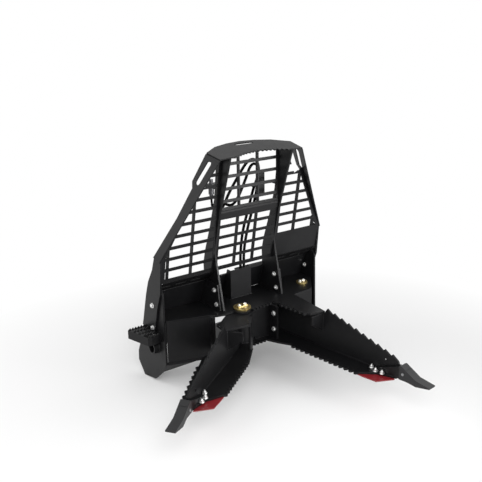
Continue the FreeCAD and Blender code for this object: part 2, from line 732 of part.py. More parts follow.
hand_room = slot_tool(150, 35, 130)
hand_room.Placement = hand_slot.Placement
above_flange = Part.Face(Part.makePolygon(flat + flat[:1])).extrude(inward * -60)
leg_outline = [(-3, 793), (16, 606), (60, 495), (98, 345), (120, 330), (205, 330), (241, 348),
               (227, 391), (204, 475), (180, 557), (165, 598), (149, 640), (121, 684), (94, 728),
               (80, 767), (65, 806)]
leg = prism_x(leg_outline, -leg_out, -side_out).cut(flange).cut(above_flange)
pieces["flange_left"] = joined([flange, leg]).cut(over_cap)

rib_outline = [(-78, 436), (-20, 680), (0, 775), (-60, 1012), (-178, cap_front_z - 1),
               (-50, cap_front_z + 22), (-12, 1102),
               (38, 937), (100, 769), (122, 687), (120, 600),
               (mount_front_y(570), 570), (mount_front_y(deck_top_z), deck_top_z)]
rib_outline[0] = (-78, deck_top_z)
pieces["rib_left"] = prism_x(rib_outline, -rib_out, -rib_x).cut(over_cap).cut(behind_mount_plate)


def screen(outline, inset, rows, bars, low_bar, high_bar):
    """Plate with rows of windows between slats, and bars on edge behind it."""
    plate = prism_z_up(outline, 0, sheet_stock)
    opening = prism_z_up(inset, 0, sheet_stock)
    slats = []
    for row in rows:
        middle = slat_pitch * row
        slats.append(block(-leg_out, leg_out, 0, sheet_stock, middle - slat_height / 2,
                           middle + slat_height / 2))
    plate = joined([plate.cut(opening), opening.common(Part.makeCompound(slats))])
    stock = []
    for x in bars:
        upright_bar = block(x - bar_half, x + bar_half, sheet_stock, sheet_stock + 22, low_bar(x),
                            high_bar(x))
        stock.append(upright_bar)
    return joined([plate] + stock)


def prism_z_up(points, low, high):
    """Prism behind the guard's face on an outline of (x, up) points."""
    return face_of([(x, low, up) for x, up in points]).extrude(V(0, high - low, 0))


screen_foot = -80
guard_top = (cap_front_z - face_z) / cos_lean - 1
window_top = guard_top - 36
bar_half = 4
slope = (leg_out - guard_half_cap) / (guard_top - 58)
bar_places = (-rib_out - 150, 45 - side_out)
side_frame = [(-rib_out, screen_foot), (-rib_out, guard_top), (-guard_half_cap, guard_top),
              (-leg_out, 58), (-side_out, 58), (-side_out, screen_foot)]


def side_inset(foot):
    """Outline of the windows of the left screen above a height."""
    corner = 24 - guard_half_cap - (guard_top - window_top) * slope
    return [(-rib_out - 15, foot), (-rib_out - 15, window_top), (corner, window_top),
            (22 - side_out, 77), (22 - side_out, foot)]


def bar_top(x):
    return min(window_top, guard_top - (abs(x) - guard_half_cap) / slope - 40)


flange_profile = [(17, 655), (101, 584.5), (104.5, 588), (21, 658)]
shelf = prism_x(flange_profile, -side_in, -rib_out)
for x in (238 - side_in, 140 - side_in, 42 - side_in):
    cutter = turned(slot_tool(72, 20, 60), (0, 0, 0), (1, 0, 0), -40)
    shelf = shelf.cut(moved(cutter, x, 62, 620))
beyond = [pieces["flange_left"], over_cap, above_flange, hand_room]
left = on_face(screen(side_frame, side_inset(-56), range(-1, 9), bar_places,
                      lambda x: screen_foot + 4, bar_top))
right = on_face(screen(side_frame, side_inset(slat_pitch * 1.15), range(1, 9), bar_places,
                       lambda x: screen_foot + 4, bar_top))
for solid in beyond:
    left = left.cut(solid)
    right = right.cut(solid)
pieces["screen_left"] = left.fuse(shelf.cut(left)).removeSplitter()
pieces["screen_right"] = mirrored(right.fuse(shelf.cut(right)).removeSplitter())

rail_half = mid_rail_height / 2
centre_bars = (-68, 68)
centre_frame = [(-rib_x, screen_foot), (rib_x, screen_foot), (rib_x, mid_rail_v - rail_half),
                (-rib_x, mid_rail_v - rail_half)]
centre_inset = [(-rib_x + 15, -56), (rib_x - 15, -56), (rib_x - 15, 245), (-rib_x + 15, 245)]
pieces["screen_centre"] = on_face(screen(centre_frame, centre_inset, range(-1, 4), centre_bars,
                                         lambda x: screen_foot + 4, lambda x: mid_rail_v - rail_half))
pieces["mid_rail"] = on_face(block(-rib_x, rib_x, -5, 30, mid_rail_v - rail_half, mid_rail_v + rail_half))

upper_y = -50
upper_low = face_point(0, mid_rail_v)[1] + 8
upper_high = cap_front_z + 37
upper = block(-rib_x, rib_x, upper_y, upper_y + sheet_stock, upper_low, upper_high)
window = block(15 - rib_x, rib_x - 15, upper_y, upper_y + sheet_stock, upper_low + 32, upper_high - 48)
upper_slats = []
for row in range(4):
    z = upper_low + slat_pitch + 71 * row
    upper_slats.append(block(15 - rib_x, rib_x - 15, upper_y, upper_y + sheet_stock, z - slat_height / 2,
                             z + slat_height / 2))
upper_bars = [block(x - bar_half, x + bar_half, upper_y + sheet_stock, upper_y + sheet_stock + 22,
                    upper_low + 25, upper_high - 40) for x in centre_bars]
upper = joined([upper.cut(window)] + upper_slats + upper_bars)
pieces["screen_upper"] = upper.cut(pieces["mid_rail"]).cut(over_cap)

for name in ("side_plate", "mount_plate", "upright", "flange", "rib"):
    pieces[name + "_right"] = mirrored(pieces[name + "_left"])

# Guard bolts, alike at the ribs and at the legs

bolts = []
for x0, x1, y, z in ((-rib_x, -rib_out - side_stock, -6, 550), (-rib_x, -rib_out - side_stock, -25, 465),
                     (-side_in, -leg_out, 111, 505), (-side_in, -leg_out, 120, 364)):
    bolt = bolt_along_x(x1, x0, y, z, 8)
    bolts.extend([bolt, mirrored(bolt)])
pieces["guard_bolts"] = Part.makeCompound(bolts)
for name in ("rib", "upright", "side_plate", "flange"):
    for side in ("_left", "_right"):
        pieces[name + side] = pieces[name + side].cut(pieces["guard_bolts"])

# Step beside the left side plate, with its round boss

step_out = leg_out + step_reach
step_plan = [(-side_out, step_front_y), (step_slant + 22 - step_out, step_front_y - 8),
             (step_slant - step_out, step_front_y), (-step_out, step_rear_y), (-side_out, step_rear_y)]
inner_plan = [(-side_out, step_front_y + sheet_stock), (step_slant + 24 - step_out, step_front_y - 3),
              (step_slant + 5 - step_out, step_front_y + 4), (5 - step_out, step_rear_y - sheet_stock),
              (-side_out, step_rear_y - sheet_stock)]
step_low_z = step_top_z - step_height
step = prism_z(step_plan, step_low_z, step_top_z)
step = step.cut(prism_z(inner_plan, step_low_z, step_top_z - sheet_stock))
stud_rows = 5
row_pitch = (step_rear_y - sheet_stock - step_front_y) / (stud_rows - 1)
rows = []
for row in range(stud_rows):
    y = step_front_y + row_pitch * row
    reach = step_out - step_slant * (1 - row / (stud_rows - 1)) - 2
    studs = saw_edge((-reach, step_top_z), (-leg_out, step_top_z), stud_pitch, stud_height, 1)
    studs = studs + [(-leg_out, step_top_z - 2), (-reach, step_top_z - 2)]
    rows.append(prism_y(studs, y, y + sheet_stock))
pieces["step"] = joined([step] + rows).cut([pieces["flange_left"], pieces["guard_bolts"]])
boss_y = 110
boss_z = 245
boss = bar((-side_out, boss_y, boss_z), (-side_out - 34, boss_y, boss_z), boss_radius)
boss = boss.cut(bar((-side_out, boss_y, boss_z), (-side_out - 34, boss_y, boss_z), boss_radius - 9))
pieces["side_plate_left"] = pieces["side_plate_left"].fuse(boss)

# Hoses from the channel over the guide to their couplers, with the couplers and their holders

hose_a_y = 68
hose_b_y = 86
hose_a_route = [(38, 470), (34, 588), (33, 712), (62, 850), (112, 990), (146, 1115), (162, 1258),
                (85, 1292), (-14, 1168), (-76, 1084), (-112, 1010), (-190, 1010), (-190, 1086)]
hose_b_route = [(22, 475), (20, 590), (22, 712), (42, 845), (88, 975), (126, 1092), (164, 1165),
                (166, 1236), (108, 1246), (56, 1136), (-20, 1008), (-88, 1030), (-124, 1086), (-124, 1130)]


def hose(route, y):
    """Round hose along straight runs joined by tangent arcs."""
    points = [V(x, y, z) for x, z in route]
    edges = []
    start = points[0]
    length = 0
    for before, corner, after in zip(points, points[1:], points[2:]):
        run_in = (corner - before)
        run_out = (after - corner)
        half_turn = run_in.getAngle(run_out) / 2
        trim = 0.45 * min(run_in.Length, run_out.Length)
        radius = trim / math.tan(half_turn)
        run_in.normalize()
        run_out.normalize()
        arc_start = corner - run_in * trim
        arc_end = corner + run_out * trim
        inward_dir = (run_out - run_in).normalize()
        middle = corner + inward_dir * (radius / math.cos(half_turn) - radius)
        edges.append(Part.makeLine(start, arc_start))
        edges.append(Part.Arc(arc_start, middle, arc_end).toShape())
        start = arc_end
        print("bend radius", round(radius, 1), "turn", round(math.degrees(2 * half_turn), 1),
              "runs", round(trim / 0.45, 1))
    edges.append(Part.makeLine(start, points[-1]))
    length = sum(edge.Length for edge in edges)
    spine = Part.Wire(edges)
    first = (points[1] - points[0]).normalize()
    ring = Part.Wire(Part.makeCircle(hose_radius, points[0], first))
    tube = spine.makePipeShell([ring], True, False)
    expected = length * math.pi * hose_radius ** 2
    print("hose length", round(length, 1), "volume share", round(tube.Volume / expected, 4))
    return tube


pieces["hose_a"] = hose(hose_a_route, hose_a_y)
pieces["hose_b"] = hose(hose_b_route, hose_b_y)

coupler_places = {"coupler_a": (hose_a_route[-1], hose_a_y), "coupler_b": (hose_b_route[-1], hose_b_y)}
for name, ((x, low), y) in coupler_places.items():
    sleeve = low + 24
    nose = low + coupler_height - 30
    pieces[name] = joined([hexagon(x, y, low, sleeve, coupler_radius - 3),
                           post(x, y, sleeve, nose, coupler_radius),
                           post(x, y, nose, low + coupler_height, coupler_radius - 4)])

holder_low = hose_b_route[-1][1] + 28
holder_back = hose_b_y + coupler_radius + 8
holder = joined([block(-rib_x, -rib_x + 6, upper_y + sheet_stock, holder_back, holder_low - 4,
                       holder_low + 14),
                 block(-rib_x, hose_b_route[-1][0] + coupler_radius + 6, hose_a_y - coupler_radius - 8,
                       holder_back, holder_low, holder_low + 8)])
for (x, low), y in coupler_places.values():
    holder = holder.cut(post(x, y, low, low + coupler_height, coupler_radius))
pieces["coupler_holder"] = holder

# Guide plate of the hoses on the right rib, with a clip round each hose

guide_y = 20
guide = [block(121, 163, guide_y, guide_y + 8, 1069, 1200),
         block(121, rib_x, guide_y, guide_y + 8, 1131, 1147),
         block(rib_x - 6, rib_x, upper_y + sheet_stock, guide_y + 8, 1131, 1147)]
clip_z = 1104
for x, y in ((143, hose_a_y), (127, hose_b_y)):
    guide.append(post(x, y, clip_z, clip_z + 14, hose_radius + 4.5))
    guide.append(block(x - 3, x + 3, guide_y + 8, y - hose_radius, clip_z + 3, clip_z + 11))
pieces["hose_guide"] = joined(guide).cut(pieces["hose_a"]).cut(pieces["hose_b"])


# Export, with the origin at the middle of the footprint

def check_piece(name, shape):
    """Reports a piece that is not valid closed solids."""
    if not shape.isValid() or not shape.Solids or min(s.Volume for s in shape.Solids) <= 0:
        print("unsound piece", name, shape.isValid(), len(shape.Solids))


os.makedirs("parts", exist_ok=True)
whole = FreeCAD.BoundBox()
for name, shape in pieces.items():
    check_piece(name, shape)
    whole.add(shape.BoundBox)
    placed = moved(shape, -footprint_x, -footprint_y, 0)
    placed.exportStep("parts/" + name + ".step")
print("pieces", len(pieces), "box", [round(v, 2) for v in (whole.XMin, whole.XMax, whole.YMin, whole.YMax,
                                                          whole.ZMin, whole.ZMax)])
print("footprint middle", round((whole.XMin + whole.XMax) / 2, 3), round((whole.YMin + whole.YMax) / 2, 3))
print("cylinder rest", round(rest_x, 2), round(rest_y, 2), "turn", round(rest_turn, 3),
      "swing", round(end_turn - rest_turn, 3), "stroke", round(stroke, 2))
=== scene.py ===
import bpy
import bmesh
import json
import math
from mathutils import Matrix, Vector

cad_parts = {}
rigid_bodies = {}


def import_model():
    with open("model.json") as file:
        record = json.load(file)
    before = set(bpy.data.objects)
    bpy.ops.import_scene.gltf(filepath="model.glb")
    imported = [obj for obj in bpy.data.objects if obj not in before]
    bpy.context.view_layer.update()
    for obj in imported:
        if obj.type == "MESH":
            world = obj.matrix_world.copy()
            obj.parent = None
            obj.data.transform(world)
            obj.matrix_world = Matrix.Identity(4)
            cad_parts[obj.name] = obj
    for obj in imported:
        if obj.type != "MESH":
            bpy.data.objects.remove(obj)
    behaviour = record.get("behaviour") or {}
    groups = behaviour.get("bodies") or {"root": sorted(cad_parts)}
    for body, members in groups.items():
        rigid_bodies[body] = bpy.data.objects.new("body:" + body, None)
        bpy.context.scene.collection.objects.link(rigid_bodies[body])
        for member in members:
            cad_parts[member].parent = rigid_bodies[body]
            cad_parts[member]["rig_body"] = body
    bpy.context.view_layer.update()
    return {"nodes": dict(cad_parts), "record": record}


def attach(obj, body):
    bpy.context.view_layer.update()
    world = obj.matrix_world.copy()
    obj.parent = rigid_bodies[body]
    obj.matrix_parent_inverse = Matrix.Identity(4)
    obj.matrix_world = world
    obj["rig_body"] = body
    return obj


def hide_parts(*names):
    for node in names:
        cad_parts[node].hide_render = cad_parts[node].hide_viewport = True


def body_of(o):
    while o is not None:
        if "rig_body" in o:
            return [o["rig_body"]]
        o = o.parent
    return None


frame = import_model()
nodes = frame["nodes"]
scene = bpy.context.scene

# Places are written in millimetres from the middle of the loader plate; the frame counts metres from
# the middle of the floor under the object
footprint = Vector((-198.385, -439.194, 0.0))


def at(x, y, z):
    return (Vector((x, y, z)) - footprint) / 1000


# Camera, at the photograph's viewing angle

camera = {"place": (-2542.94, -3501.28, 2147.41), "azimuth": -39.157, "elevation": 16.861,
          "focal": 754.56, "middle": (285.39, 235.73), "picture": 482, "farthest": 60}


def makeCamera(settings):
    data = bpy.data.cameras.new("studioCamera")
    eye = bpy.data.objects.new("studioCamera", data)
    scene.collection.objects.link(eye)
    turn, tilt = math.radians(settings["azimuth"]), math.radians(settings["elevation"])
    sight = Vector((-math.sin(turn) * math.cos(tilt), math.cos(turn) * math.cos(tilt), -math.sin(tilt)))
    eye.location = at(*settings["place"])
    eye.rotation_mode = "QUATERNION"
    eye.rotation_quaternion = sight.to_track_quat("-Z", "Y")
    width = settings["picture"]
    data.lens = data.sensor_width * settings["focal"] / width
    data.shift_x = -(settings["middle"][0] - width / 2) / width
    data.shift_y = (settings["middle"][1] - width / 2) / width
    data.clip_end = settings["farthest"]
    scene.camera = eye


makeCamera(camera)
print("camera placed")


# Node writing: maths on sockets reads as plain expressions, in materials and in geometry trees

class Signal:
    def __init__(self, bench, socket):
        self.bench = bench
        self.socket = socket

    def maths(self, operation, first, second=0.0, clamp=False):
        return self.bench.node("ShaderNodeMath", {"operation": operation, "use_clamp": clamp},
                               {0: first, 1: second})

    def __add__(self, other):
        return self.maths("ADD", self, other)

    def __radd__(self, other):
        return self.maths("ADD", other, self)

    def __sub__(self, other):
        return self.maths("SUBTRACT", self, other)

    def __mul__(self, other):
        return self.maths("MULTIPLY", self, other)

    def __rmul__(self, other):
        return self.maths("MULTIPLY", other, self)

    def __truediv__(self, other):
        return self.maths("DIVIDE", self, other)

    def sine(self):
        return self.maths("SINE", self)

    def clipped(self):
        return self.maths("ADD", self, 0.0, clamp=True)

    def above(self, level, width):
        # 0 below the level and 1 above it, over a soft edge
        return ((self - level) / width).clipped()


class Bench:
    def __init__(self, tree):
        self.tree = tree

    def node(self, kind, settings=None, inputs=None, out=0):
        made = self.tree.nodes.new(kind)
        for name, value in (settings or {}).items():
            if name == "stops":
                ramp = made.color_ramp
                while len(ramp.elements) < len(value):
                    ramp.elements.new(0.5)
                for element, (place, colour) in zip(ramp.elements, value):
                    element.position = place
                    element.color = (*colour, 1.0)
            else:
                setattr(made, name, value)
        for name, value in (inputs or {}).items():
            if isinstance(value, Signal):
                self.tree.links.new(value.socket, made.inputs[name])
            elif isinstance(value, list):
                for part in value:
                    self.tree.links.new(part.socket, made.inputs[name])
            elif isinstance(value, tuple) and len(value) == 3 and made.inputs[name].type == "RGBA":
                made.inputs[name].default_value = (*value, 1.0)
            else:
                made.inputs[name].default_value = value
        return Signal(self, made.outputs[out])


class Paint(Bench):
    def __init__(self, name):
        self.material = bpy.data.materials.new(name)
        self.material.use_nodes = True
        super().__init__(self.material.node_tree)
        self.tree.nodes.clear()
        self.output = self.tree.nodes.new("ShaderNodeOutputMaterial")

    def place(self):
        return self.node("ShaderNodeTexCoord", out=3)

    def stretched(self, scale):
        return self.node("ShaderNodeMapping", {}, {"Vector": self.place(), "Scale": scale})

    def noise(self, scale, detail=3.0, roughness=0.5, vector=None):
        return self.node("ShaderNodeTexNoise", {}, {"Vector": vector or self.place(), "Scale": scale,
                                                    "Detail": detail, "Roughness": roughness})

    def mix(self, share, first, second):
        return self.node("ShaderNodeMix", {"data_type": "RGBA"}, {0: share, 6: first, 7: second}, out=2)

    def bump(self, height, strength, distance):
        return self.node("ShaderNodeBump", {}, {
            "Height": height, "Strength": strength, "Distance": distance})

    def finish(self, colour, roughness, normal=None, metallic=0.0, specular=0.5):
        values = {"Base Color": colour, "Roughness": roughness, "Metallic": metallic,
                  "Specular IOR Level": specular}
        if normal:
            values["Normal"] = normal
        shader = self.node("ShaderNodeBsdfPrincipled", {}, values)
        self.tree.links.new(shader.socket, self.output.inputs["Surface"])
        return self.material


def powderCoat(name, settings):
    # paint with slow drifts of tone, dust in patches and a fine peel
    paint = Paint(name)
    dustFrom, dustEdge, peelDepth = 0.56, 0.22, 0.0006
    drift = paint.noise(settings["driftScale"], 4.0, 0.6)
    dust = paint.noise(settings["dustScale"], 6.0, 0.7).above(dustFrom, dustEdge)
    peel = paint.noise(settings["peelScale"], 2.0, 0.5)
    colour = paint.mix(drift, settings["deep"], settings["light"])
    colour = paint.mix(dust * settings["dust"], colour, settings["dustColour"])
    rough = settings["roughness"] + (drift - 0.5) * 0.12 + dust * 0.1
    normal = paint.bump(peel + drift * 0.3, settings["bump"], peelDepth)
    return paint.finish(colour, rough, normal, specular=settings["specular"])


def machinedSteel(name, settings):
    # metal with a stretched grain and soft stains
    paint = Paint(name)
    stainFrom, stainEdge, grainDepth = 0.5, 0.3, 0.0003
    grain = paint.noise(settings["grainScale"], 3.0, 0.6, paint.stretched(settings["stretch"]))
    stain = paint.noise(settings["stainScale"], 5.0, 0.65)
    colour = paint.mix(grain, settings["dark"], settings["light"])
    stained = stain.above(stainFrom, stainEdge) * settings["stain"]
    colour = paint.mix(stained, colour, settings["stainColour"])
    rough = settings["roughness"] + (grain - 0.5) * 0.18 + stain * 0.08
    normal = paint.bump(grain, settings["bump"], grainDepth)
    return paint.finish(colour, rough, normal, metallic=settings["metallic"])


def hoseRubber(name, settings):
    paint = Paint(name)
    speckle = paint.noise(settings["speckleScale"], 3.0, 0.6)
    weave = paint.noise(settings["weaveScale"], 1.0, 0.5) - 0.5
    colour = paint.mix(speckle, settings["deep"], settings["light"])
    rough = settings["roughness"] + weave * 0.2
    normal = paint.bump(speckle + weave, 0.25, 0.0004)
    return paint.finish(colour, rough, normal, specular=settings["specular"])


def yellowPlating(name, settings):
    # passivated zinc: gold with blotches of rose and green
    paint = Paint(name)
    cloud = paint.noise(settings["cloudScale"], 4.0, 0.6)
    fleck = paint.noise(settings["fleckScale"], 5.0, 0.7)
    colour = paint.node("ShaderNodeValToRGB", {"stops": settings["stops"]}, {"Fac": cloud})
    colour = paint.mix(fleck.above(0.56, 0.1) * 0.5, colour, settings["flecks"])
    rough = settings["roughness"] + (fleck - 0.5) * 0.25
    return paint.finish(colour, rough, paint.bump(fleck, 0.2, 0.0004), metallic=0.9)


finishes = {
    "frameBlack": powderCoat("frameBlack", {
        "driftScale": 6.0, "dustScale": 26.0, "peelScale": 700.0, "deep": (0.0022, 0.0022, 0.0025),
        "light": (0.0056, 0.0056, 0.0061), "dust": 0.2, "dustColour": (0.02, 0.02, 0.019),
        "roughness": 0.40, "bump": 0.16, "specular": 0.17}),
    "jawBlack": powderCoat("jawBlack", {
        "driftScale": 9.0, "dustScale": 34.0, "peelScale": 600.0, "deep": (0.0024, 0.0024, 0.0027),
        "light": (0.0062, 0.0062, 0.0067), "dust": 0.24, "dustColour": (0.022, 0.022, 0.021),
        "roughness": 0.41, "bump": 0.2, "specular": 0.17}),
    "bladeRed": powderCoat("bladeRed", {
        "driftScale": 20.0, "dustScale": 60.0, "peelScale": 900.0, "deep": (0.135, 0.006, 0.009),
        "light": (0.19, 0.010, 0.014), "dust": 0.08, "dustColour": (0.13, 0.03, 0.03),
        "roughness": 0.42, "bump": 0.15, "specular": 0.3}),
    "castTooth": powderCoat("castTooth", {
        "driftScale": 30.0, "dustScale": 90.0, "peelScale": 420.0, "deep": (0.007, 0.007, 0.0075),
        "light": (0.016, 0.016, 0.017), "dust": 0.35, "dustColour": (0.034, 0.033, 0.032),
        "roughness": 0.42, "bump": 0.5, "specular": 0.3}),
    "zincBolt": machinedSteel("zincBolt", {
        "grainScale": 160.0, "stretch": (1.0, 1.0, 1.0), "stainScale": 90.0, "dark": (0.66, 0.66, 0.66),
        "light": (0.90, 0.90, 0.89), "stain": 0.35, "stainColour": (0.42, 0.41, 0.39), "roughness": 0.26,
        "bump": 0.15, "metallic": 0.9}),
    "goldZinc": yellowPlating("goldZinc", {
        "cloudScale": 38.0, "fleckScale": 160.0, "flecks": (0.20, 0.17, 0.09), "roughness": 0.36,
        "stops": [(0.3, (0.24, 0.15, 0.04)), (0.48, (0.44, 0.33, 0.12)), (0.62, (0.36, 0.30, 0.14)),
                  (0.75, (0.50, 0.41, 0.22))]}),
    "pinSteel": machinedSteel("pinSteel", {
        "grainScale": 60.0, "stretch": (1.0, 1.0, 12.0), "stainScale": 30.0, "dark": (0.20, 0.20, 0.205),
        "light": (0.36, 0.36, 0.37), "stain": 0.3, "stainColour": (0.12, 0.115, 0.11), "roughness": 0.34,
        "bump": 0.1, "metallic": 0.95}),
    "chromeRod": machinedSteel("chromeRod", {
        "grainScale": 80.0, "stretch": (20.0, 1.0, 1.0), "stainScale": 25.0, "dark": (0.68, 0.69, 0.71),
        "light": (0.82, 0.83, 0.85), "stain": 0.1, "stainColour": (0.6, 0.6, 0.6), "roughness": 0.12,
        "bump": 0.03, "metallic": 1.0}),
    "bronzeBush": machinedSteel("bronzeBush", {
        "grainScale": 90.0, "stretch": (1.0, 1.0, 8.0), "stainScale": 40.0, "dark": (0.40, 0.26, 0.10),
        "light": (0.58, 0.40, 0.18), "stain": 0.3, "stainColour": (0.3, 0.2, 0.1), "roughness": 0.36,
        "bump": 0.1, "metallic": 0.95}),
    "darkCoupler": machinedSteel("darkCoupler", {
        "grainScale": 140.0, "stretch": (1.0, 1.0, 4.0), "stainScale": 70.0, "dark": (0.03, 0.03, 0.032),
        "light": (0.08, 0.08, 0.085), "stain": 0.3, "stainColour": (0.03, 0.03, 0.03), "roughness": 0.36,
        "bump": 0.15, "metallic": 0.8}),
    "hoseBlack": hoseRubber("hoseBlack", {
        "speckleScale": 500.0, "weaveScale": 240.0, "deep": (0.002, 0.002, 0.002),
        "light": (0.006, 0.006, 0.006), "roughness": 0.8, "specular": 0.03}),
}
slotFinish = {
    "black_paint": "frameBlack", "red_paint": "bladeRed", "cast_tip": "castTooth", "zinc": "zincBolt",
    "yellow_zinc": "goldZinc", "pin_steel": "pinSteel", "bronze": "bronzeBush", "hose_rubber": "hoseBlack",
    "coupler_steel": "darkCoupler", "chrome_rod": "chromeRod",
}
print("finishes ready")


# Plates and castings get broken edges and round parts smooth sides, on merged copies of the solids

edges = {"plate": 0.0012, "small": 0.0005, "segments": 2, "sharpAngle": 32.0, "flatAngle": 0.6,
         "mergeWithin": 0.00002}
smallEdged = ("pin", "cap", "coupler", "hose_guide", "screen", "gland", "piston", "barrel", "bush", "step")


def breakEdges(name, finish):
    source = nodes[name]
    shape = bmesh.new()
    shape.from_mesh(source.data)
    bmesh.ops.remove_doubles(shape, verts=shape.verts, dist=edges["mergeWithin"])
    flat = math.radians(edges["flatAngle"])
    bmesh.ops.dissolve_limit(shape, angle_limit=flat, verts=shape.verts, edges=shape.edges)
    mesh = bpy.data.meshes.new(name + "Finished")
    shape.to_mesh(mesh)
    shape.free()
    mesh.shade_smooth()
    mesh.set_sharp_from_angle(angle=math.radians(edges["sharpAngle"]))
    mesh.materials.append(finishes[finish])
    made = bpy.data.objects.new(name + "Finished", mesh)
    scene.collection.objects.link(made)
    soften = made.modifiers.new("brokenEdges", "BEVEL")
    small = any(word in name for word in smallEdged)
    soften.width = edges["small"] if small else edges["plate"]
    soften.segments = edges["segments"]
    soften.limit_method = "ANGLE"
    soften.angle_limit = math.radians(edges["sharpAngle"])
    soften.harden_normals = True
    body = body_of(source)
    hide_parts(name)
    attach(made, body if isinstance(body, str) else body[0])
    return made


madeInScene = ("hose_a", "hose_b", "guard_bolts", "root_bolts", "fixed_jaw_blade_bolts",
               "moving_jaw_blade_bolts")
for entry in frame["record"]["subparts"]:
    name = entry["node"]
    slotName = entry["material_slot"]
    finish = "jawBlack" if slotName == "black_paint" and "jaw" in name else slotFinish[slotName]
    if name not in madeInScene:
        breakEdges(name, finish)


# Geometry trees: each has named inputs, and its result is turned into a plain mesh

class Grower(Bench):
    def __init__(self, name, inputs):
        super().__init__(bpy.data.node_groups.new(name, "GeometryNodeTree"))
        self.tree.interface.new_socket(name="Geometry", in_out="INPUT", socket_type="NodeSocketGeometry")
        for label, kind in inputs:
            self.tree.interface.new_socket(name=label, in_out="INPUT", socket_type="NodeSocket" + kind)
        self.tree.interface.new_socket(name="Geometry", in_out="OUTPUT", socket_type="NodeSocketGeometry")
        self.entry = self.tree.nodes.new("NodeGroupInput")

    def given(self, name):
        return Signal(self, self.entry.outputs[name])

    def raised(self, shape, height):
        lift = self.node("ShaderNodeCombineXYZ", {}, {2: height})
        return self.node("GeometryNodeTransform", {}, {0: shape, "Translation": lift})

    def deliver(self, shape):
        solid = self.node("GeometryNodeRealizeInstances", {}, {0: shape})
        solid = self.node("GeometryNodeSetMaterial", {}, {0: solid, "Material": self.given("Finish")})
        leave = self.tree.nodes.new("NodeGroupOutput")
        self.tree.links.new(solid.socket, leave.inputs[0])
        return self.tree


def grow(name, mesh, tree, values):
    seed = bpy.data.objects.new(name + "Seed", mesh)
    scene.collection.objects.link(seed)
    modifier = seed.modifiers.new("grow", "NODES")
    modifier.node_group = tree
    for item in tree.interface.items_tree:
        if item.in_out == "INPUT" and item.name in values:
            modifier[item.identifier] = values[item.name]
    bpy.context.view_layer.update()
    grown = bpy.data.meshes.new_from_object(seed.evaluated_get(bpy.context.evaluated_depsgraph_get()))
    seed.modifiers.clear()
    bpy.data.objects.remove(seed)
    grown.name = name
    return grown


def piece(name, meshes, body, standsFor=()):
    # grown meshes become one piece; the tree's primitives leave an empty slot before the finish
    whole = bmesh.new()
    finish = next(material for material in meshes[0].materials if material)
    for mesh in meshes:
        whole.from_mesh(mesh)
    joined = bpy.data.meshes.new(name)
    whole.to_mesh(joined)
    whole.free()
    joined.materials.append(finish)
    for face in joined.polygons:
        face.material_index = 0
    made = bpy.data.objects.new(name, joined)
    scene.collection.objects.link(made)
    if standsFor:
        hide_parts(*standsFor)
    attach(made, body)
    print("piece", name, len(joined.polygons), "faces")
    return made


def spotMesh(name, spots, axis):
    # one vertex for each place, with the way its instance points
    mesh = bpy.data.meshes.new(name)
    mesh.from_pydata([tuple(at(*spot)) for spot in spots], [], [])
    way = mesh.attributes.new("way", "FLOAT_VECTOR", "POINT")
    for item in way.data:
        item.vector = axis
    return mesh


# Bolts and nuts: washer, hexagon with a bevelled end, and the thread's end beyond it

def fastenerTree():
    bench = Grower("fastenerTree", [
        ("Hexagon Radius", "Float"), ("Hexagon Height", "Float"), ("Washer Radius", "Float"),
        ("Washer Height", "Float"), ("Thread Radius", "Float"), ("Thread Height", "Float"),
        ("Finish", "Material")])
    radius, height = bench.given("Hexagon Radius"), bench.given("Hexagon Height")
    washer, thread = bench.given("Washer Height"), bench.given("Thread Height")
    crownShare, drawnIn, threadTaper = 0.16, 0.84, 0.8
    flatShare = 1 - crownShare
    ring = bench.node("GeometryNodeMeshCylinder", {}, {
        "Vertices": 28, "Radius": bench.given("Washer Radius"), "Depth": washer})
    ring = bench.raised(ring, washer * 0.5)
    flat = bench.node("GeometryNodeMeshCylinder", {}, {
        "Vertices": 6, "Radius": radius, "Depth": height * flatShare})
    flat = bench.raised(flat, washer + height * (flatShare / 2))
    crown = bench.node("GeometryNodeMeshCone", {}, {
        "Vertices": 6, "Radius Top": radius * drawnIn, "Radius Bottom": radius,
        "Depth": height * crownShare})
    crown = bench.raised(crown, washer + height * flatShare)
    end = bench.node("GeometryNodeMeshCone", {}, {
        "Vertices": 18, "Radius Top": bench.given("Thread Radius") * threadTaper,
        "Radius Bottom": bench.given("Thread Radius"), "Depth": thread})
    end = bench.raised(end, washer + height)
    whole = bench.node("GeometryNodeJoinGeometry", {}, {0: [ring, flat, crown, end]})
    way = bench.node("GeometryNodeInputNamedAttribute", {"data_type": "FLOAT_VECTOR"}, {"Name": "way"})
    turn = bench.node("FunctionNodeAlignRotationToVector", {"axis": "Z"}, {"Vector": way})
    return bench.deliver(bench.node("GeometryNodeInstanceOnPoints", {}, {
        "Points": bench.given("Geometry"), "Instance": whole, "Rotation": turn}))


frameSize = {"ribX": 213, "plate": 12, "sideOut": 575, "rootX": 80, "deckTop": 435, "deckLow": 423,
             "soleTop": 212, "roof": 410, "floor": 225, "hinge": (-105, -100), "open": 49.1,
             "basePin": (447, 3)}
jawSize = {"corner": (241, -442), "flare": 6.4, "span": 107, "back": 50, "wallIn": -12,
           "wallRun": (-60, 398), "gussetHalf": 6, "gussetDrop": 112, "shankOut": 10, "shankIn": -34,
           "shankEnd": 545, "bolts": [(-26, 386), (-48, 430), (-47, 474)]}


def onFixedJaw(across, along, z):
    turn = math.radians(jawSize["flare"])
    x = jawSize["corner"][0] + across * math.cos(turn) + along * math.sin(turn)
    y = jawSize["corner"][1] + across * math.sin(turn) - along * math.cos(turn)
    return (x, y, z)


